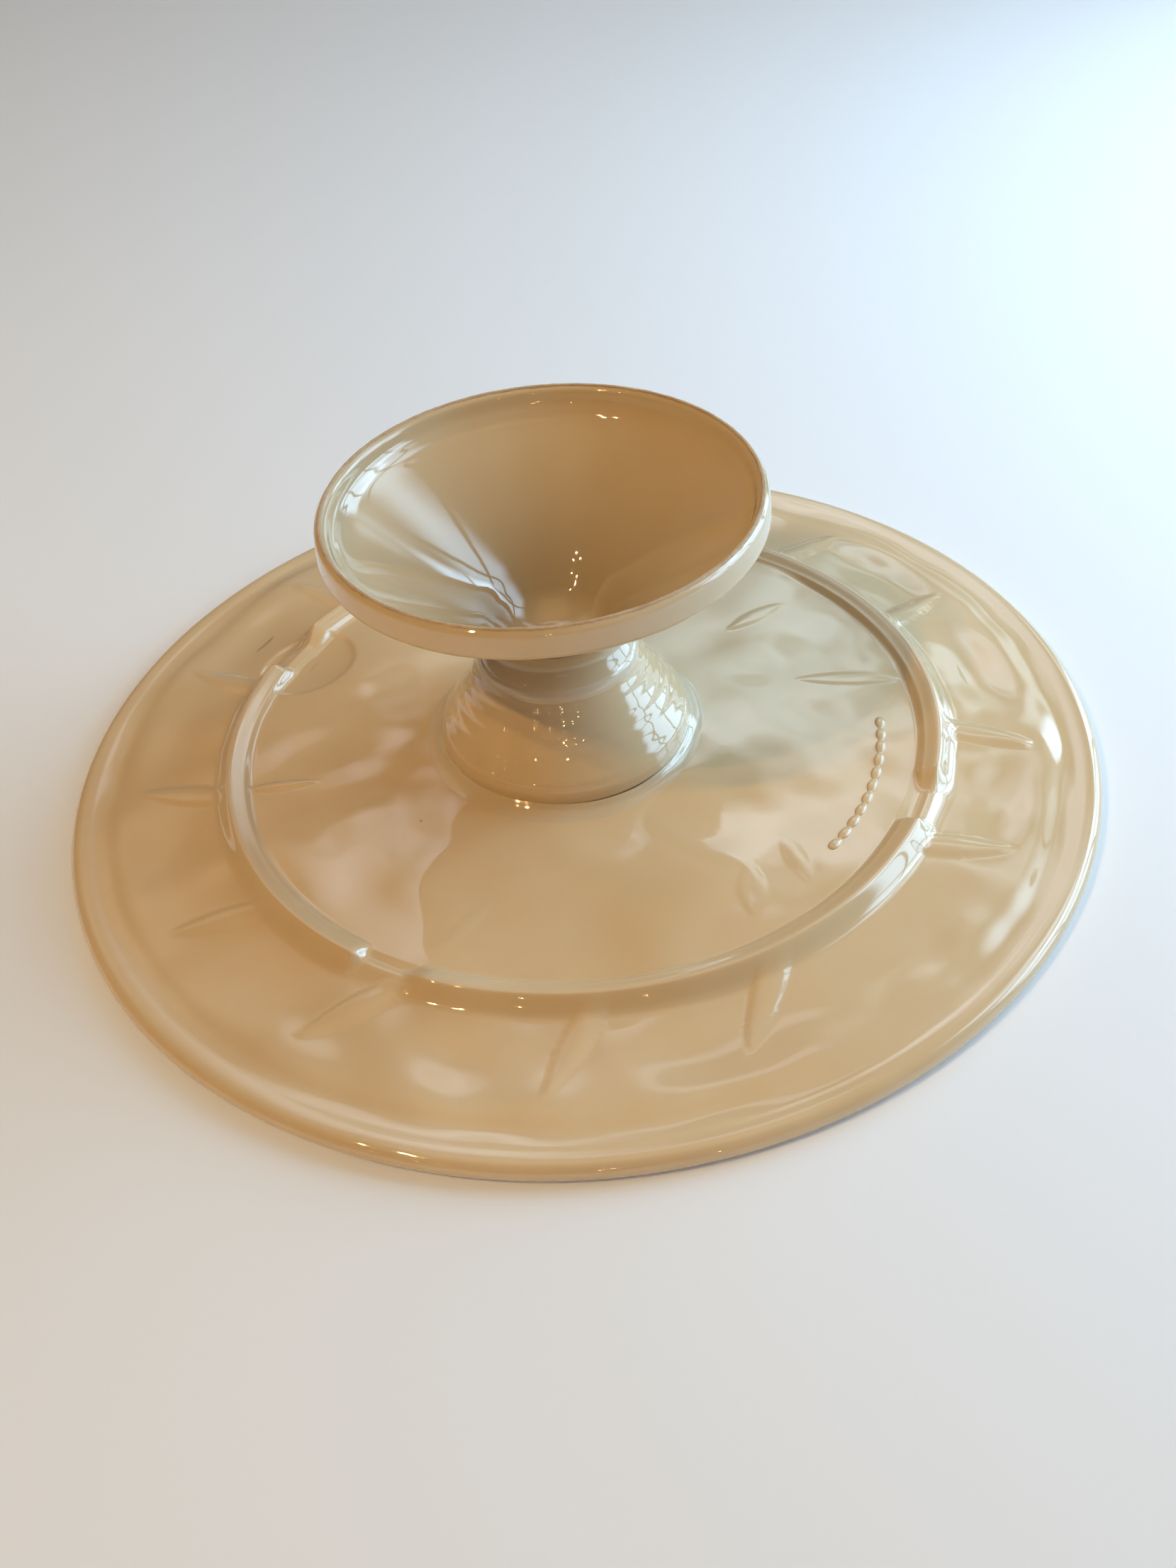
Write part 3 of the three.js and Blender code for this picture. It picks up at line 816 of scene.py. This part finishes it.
def add_softbox(name, azimuth_deg, height_deg, distance, size, watts, colour, soft_edge, panes,
                cloudy):
    """A softbox that fades out towards its edges, with a window's bars where it has panes."""
    light = bpy.data.lights.new(name, "AREA")
    light.shape = "RECTANGLE"
    light.size, light.size_y = size
    light.energy = watts
    light.color = colour
    light.use_nodes = True
    tree = light.node_tree

    def step(value, start, end):
        made = tree.nodes.new("ShaderNodeMapRange")
        made.interpolation_type = "SMOOTHSTEP"
        tree.links.new(value, made.inputs["Value"])
        made.inputs["From Min"].default_value, made.inputs["From Max"].default_value = start, end
        return made.outputs["Result"]

    def math_node(operation, first, second):
        made = tree.nodes.new("ShaderNodeMath")
        made.operation = operation
        tree.links.new(first, made.inputs[0])
        if isinstance(second, bpy.types.NodeSocket):
            tree.links.new(second, made.inputs[1])
        else:
            made.inputs[1].default_value = second
        return made.outputs[0]

    split = tree.nodes.new("ShaderNodeSeparateXYZ")
    place = tree.nodes.new("ShaderNodeNewGeometry").outputs["Parametric"]
    tree.links.new(place, split.inputs[0])
    shares = []
    for axis, count in enumerate(panes):
        across = split.outputs[axis]
        shares += [step(across, 0.0, soft_edge), step(across, 1.0, 1.0 - soft_edge)]
        if count:
            from_bar = math_node("PINGPONG", math_node("MULTIPLY", across, count), 0.5)
            shares.append(step(from_bar, *PANE_BAR))
    if cloudy:
        noise = tree.nodes.new("ShaderNodeTexNoise")
        tree.links.new(place, noise.inputs["Vector"])
        noise.inputs["Scale"].default_value = CLOUD_SCALE
        noise.inputs["Detail"].default_value = 2.0
        shares.append(step(noise.outputs["Fac"], *CLOUD_STEP))
    total = shares[0]
    for share in shares[1:]:
        total = math_node("MULTIPLY", total, share)
    tree.links.new(total, tree.nodes["Emission"].inputs["Strength"])
    aim_at_object(bpy.data.objects.new(name, light), azimuth_deg, height_deg, distance)


def string_of_lamps():
    """Rows like those of BULBS, in a wavy line from the left to the front."""
    shares = np.linspace(0, 1, STRING_LAMPS)
    return [(200 + 78 * k, 18 + 5 * math.sin(9 * k), 1.6, 0.22, 0.006) for k in shares]


def add_lights():
    for box in SOFTBOXES:
        add_softbox(*box)
    for number, (*place, watts, radius) in enumerate(list(BULBS) + string_of_lamps()):
        bulb = bpy.data.lights.new(f"bulb_{number}", "POINT")
        bulb.energy = watts
        bulb.color = BULB_COLOUR
        bulb.shadow_soft_size = radius
        aim_at_object(bpy.data.objects.new(f"bulb_{number}", bulb), *place)
    world = bpy.data.worlds.new("studio")
    world.use_nodes = True
    background = world.node_tree.nodes["Background"]
    background.inputs["Color"].default_value = WORLD_COLOUR
    background.inputs["Strength"].default_value = WORLD_STRENGTH
    scene.world = world
    scene.view_settings.view_transform = "Standard"


add_camera()
finish_piece(plate_piece(), plate_glaze, "plate_glaze", "serving_plate")
finish_piece(ring_piece(), plate_glaze, "plate_glaze", "drain_ring")
finish_piece(mark_piece(), plate_glaze, "plate_glaze", "mould_mark")
finish_piece(well_piece(), pedestal_glaze, "pedestal_glaze", "dip_well")
finish_piece(well_seam_piece(), seam_glaze, "seam_glaze", "well_seam")
finish_piece(shoulder_seam_piece(), seam_glaze, "seam_glaze", "shoulder_seam")
finish_piece(foot_piece(), pedestal_glaze, "pedestal_glaze", "pedestal_foot")
finish_piece(clay_edge_piece(), bare_clay, "bare_clay")
add_floor()
add_lights()
